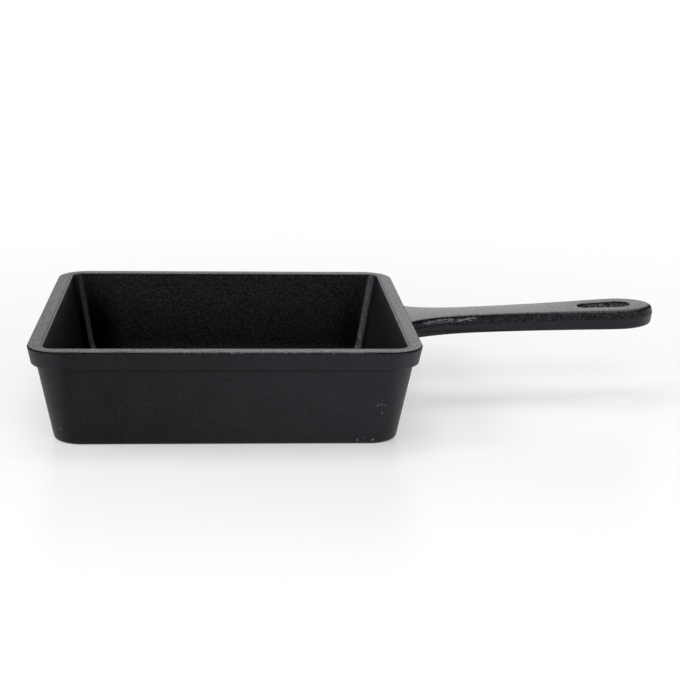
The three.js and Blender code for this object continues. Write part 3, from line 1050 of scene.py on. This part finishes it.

# %% [markdown]
# ### Roughness and black lines
# The ground faces on top carry the thinnest oil film, so they are among the smoothest. A second, plain dull
# black material is mixed in by a mask: painted shade along the outside of the rim, in the crease under the
# band and along the handle's edge, where these turn from the light, which is what makes the edges read so
# crisply; a line of baked oil just inside the rim; and a dark line round the eye. Darkening the colour there
# wouldn't do, because the film would still mirror the bright surround.

# %% Roughness, black lines and the finished iron
OUTSIDE_ROUGHNESS, INSIDE_ROUGHNESS = 0.48, 0.34
CORNER_ROUGHNESS, SIDE_WALL_ROUGHNESS = 0.27, 0.25
LOWER_SIDE_ROUGHNESS, RIM_TOP_ROUGHNESS = 0.4, 0.34
FILM_SHEEN = (0.85, 0.89, 1.0)
GROUND_SHEEN = (0.15, 0.11, 0.0)  # added to the film's on ground faces
# The dull black of the lines: painted shade, and baked oil just inside the rim.
OIL_AND_SHADE_BLACK = (0.006, 0.006, 0.007, 1.0)
inside_roughness = blend(in_corner, INSIDE_ROUGHNESS, CORNER_ROUGHNESS)
inside_roughness = blend(on_side_wall, inside_roughness, SIDE_WALL_ROUGHNESS)
roughness = blend(in_cavity, OUTSIDE_ROUGHNESS, inside_roughness)
roughness = blend(lower_side, roughness, LOWER_SIDE_ROUGHNESS)
roughness = blend(on_rim_top, roughness, RIM_TOP_ROUGHNESS)
roughness = blend(on_handle_top, roughness, w.ramp(past_rim, 40.0, 90.0, 0.25, 0.36))
sheen = w.vector("ADD", FILM_SHEEN, w.scaled(GROUND_SHEEN, ground))
# Painted shade on the outer edge of the rim, in the crease and on the handle's edge; baked oil just inside
# the rim; a dark line round the eye.
oil_line_and_painted_shade = either(
    both(on_outer_edge, w.ramp(w.number("ABSOLUTE", x), 42.0, 68.0, 0.5, 0.95)),
    both(on_inner_edge, 0.45),
    both(in_crease, 0.45),
    both(on_eye_edge, 0.85),
    on_handle_edge,
)
oil_line_and_painted_shade = both(oil_line_and_painted_shade, below(bare, 0.1, soft=0.4))
coat = {"Base Color": tint, "Roughness": roughness, "Normal": bump}
coat |= {"Specular IOR Level": mirror, "Specular Tint": sheen}
film = w.node("ShaderNodeBsdfPrincipled", coat).outputs[0]
dull_black_oil_and_shade = w.node("ShaderNodeBsdfDiffuse", {"Color": OIL_AND_SHADE_BLACK}).outputs[0]
finish = w.node("ShaderNodeMixShader", {0: oil_line_and_painted_shade, 1: film, 2: dull_black_oil_and_shade}).outputs[0]
w.feed(w.node("ShaderNodeOutputMaterial").inputs["Surface"], finish)
print("finish nodes:", len(w.tree.nodes))

# %% [markdown]
# ## Studio: pale floor, soft light, white surround
# The pan stands on a pale, slightly shiny sheet that glows white in the camera and in reflections, so no
# horizon shows. The glow grows with distance; the third of it near the pan is painted light that makes the
# shadows there paler.
# A curved backdrop could hide it too, but that would have to be lit evenly up to the edge of the picture.
# One soft light hangs overhead and one high on the left, a weak one stands in front and one more on each
# side. The surround is bright behind the pan and dim on the camera's side: the bright back is what turns
# the rim and the top of the handle grey, and the dim front keeps rounded edges and the inside wall black.

# %% Floor
FLOOR_REACH = 4.0  # metres, like the next two
FADE_MIDDLE = (0.06, 0.0, 0.0)
FADE_FROM, FADE_TO = 0.09, 0.42
NEAR_WHITE = 0.36
PAPER = (0.88, 0.88, 0.88, 1.0)
WHITE = (1.0, 1.0, 1.0, 1.0)
around = ((-1, -1), (1, -1), (1, 1), (-1, 1))
floor_corners = [(side * FLOOR_REACH, back * FLOOR_REACH, 0) for side, back in around]
floor = mesh_object("floor", floor_corners, [(0, 1, 2, 3)])
paper = bpy.data.materials.new("pale_sheet")
paper.use_nodes = True
paper.node_tree.nodes.clear()
w = Wiring(paper.node_tree)
away = w.distance(w.node("ShaderNodeTexCoord").outputs["Object"], FADE_MIDDLE)
rays = w.node("ShaderNodeLightPath").outputs
mirrored = w.number("MAXIMUM", rays["Is Glossy Ray"], rays["Is Transmission Ray"])
seen = w.number("MAXIMUM", rays["Is Camera Ray"], mirrored)
# The white glow: a third near the pan, which is painted light that pales the shadows, growing to all white
# far away.
fade = w.number("MULTIPLY", w.ramp(away, FADE_FROM, FADE_TO, NEAR_WHITE, 1.0), seen)
sheet = w.node("ShaderNodeBsdfPrincipled", {"Base Color": PAPER, "Roughness": 0.3})
white = w.node("ShaderNodeEmission", {"Color": WHITE, "Strength": 1.0})
mix = w.node("ShaderNodeMixShader", {0: fade, 1: sheet.outputs[0], 2: white.outputs[0]})
w.feed(w.node("ShaderNodeOutputMaterial").inputs["Surface"], mix.outputs[0])
floor.data.materials.append(paper)
print("floor nodes:", len(w.tree.nodes))

# %% Surround
EVEN_LIGHT = 0.32
DIM_FRONT, BRIGHT_BACK = 0.05, 1.0
LEFT_SHARE, RIGHT_SHARE = 0.68, 1.36
world = bpy.data.worlds.new("studio")
scene.world = world
world.use_nodes = True
world.node_tree.nodes.clear()
w = Wiring(world.node_tree)
to_right, to_back, _ = w.split(w.node("ShaderNodeTexCoord").outputs["Generated"])
from_behind = w.ramp(to_back, -0.45, 0.45, DIM_FRONT, BRIGHT_BACK)
surround = w.number("MULTIPLY", from_behind, w.ramp(to_right, -0.35, 0.35, LEFT_SHARE, RIGHT_SHARE))
rays = w.node("ShaderNodeLightPath").outputs
even = w.node("ShaderNodeBackground", {"Color": WHITE, "Strength": EVEN_LIGHT})
mirrored = w.node("ShaderNodeBackground", {"Color": WHITE, "Strength": surround})
plain = w.node("ShaderNodeBackground", {"Color": WHITE, "Strength": 1.0})
lit = w.node("ShaderNodeMixShader", {0: rays["Is Glossy Ray"], 1: even.outputs[0], 2: mirrored.outputs[0]})
seen = w.number("MAXIMUM", rays["Is Camera Ray"], rays["Is Transmission Ray"])
shown = w.node("ShaderNodeMixShader", {0: seen, 1: lit.outputs[0], 2: plain.outputs[0]})
w.feed(w.node("ShaderNodeOutputWorld").inputs["Surface"], shown.outputs[0])
print("surround nodes:", len(w.tree.nodes))

# %% Soft lights
LIGHTS_FACE = Vector((0.03, 0.0, 0.0))


def softbox(name, place, wide, high, watts):
    """A rectangular soft light that faces the pan. Its place and sides are in metres."""
    lamp = bpy.data.objects.new(name, bpy.data.lights.new(name, "AREA"))
    lamp.data.shape = "RECTANGLE"
    lamp.data.size = wide
    lamp.data.size_y = high
    lamp.data.energy = watts
    lamp.location = place
    lamp.rotation_euler = (LIGHTS_FACE - lamp.location).to_track_quat("-Z", "Y").to_euler()
    scene.collection.objects.link(lamp)
    print(name, "watts:", watts)


softbox("overhead_light", (-0.05, 0.20, 1.15), wide=0.6, high=0.45, watts=3.6)
softbox("high_left_light", (-0.75, -0.20, 0.85), wide=0.35, high=0.35, watts=3.7)
softbox("front_light", (0.10, -0.90, 0.72), wide=0.35, high=0.25, watts=2.5)
softbox("left_light", (-0.70, -0.72, 0.36), wide=0.6, high=0.5, watts=4.2)
softbox("right_light", (0.70, -0.72, 0.36), wide=0.6, high=0.5, watts=2.3)
scene.view_settings.view_transform = "Standard"

# %% [markdown]
# ## Handing over
# Each piece stands for the solid that it was modelled over and moves with the one rigid body of the pan.

# %% Frame calls
for piece, node, slot in ((cast_pan, "pan_body", "body_iron"), (cast_handle, "handle", "handle_iron")):
    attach(piece, "root")
    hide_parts(node)
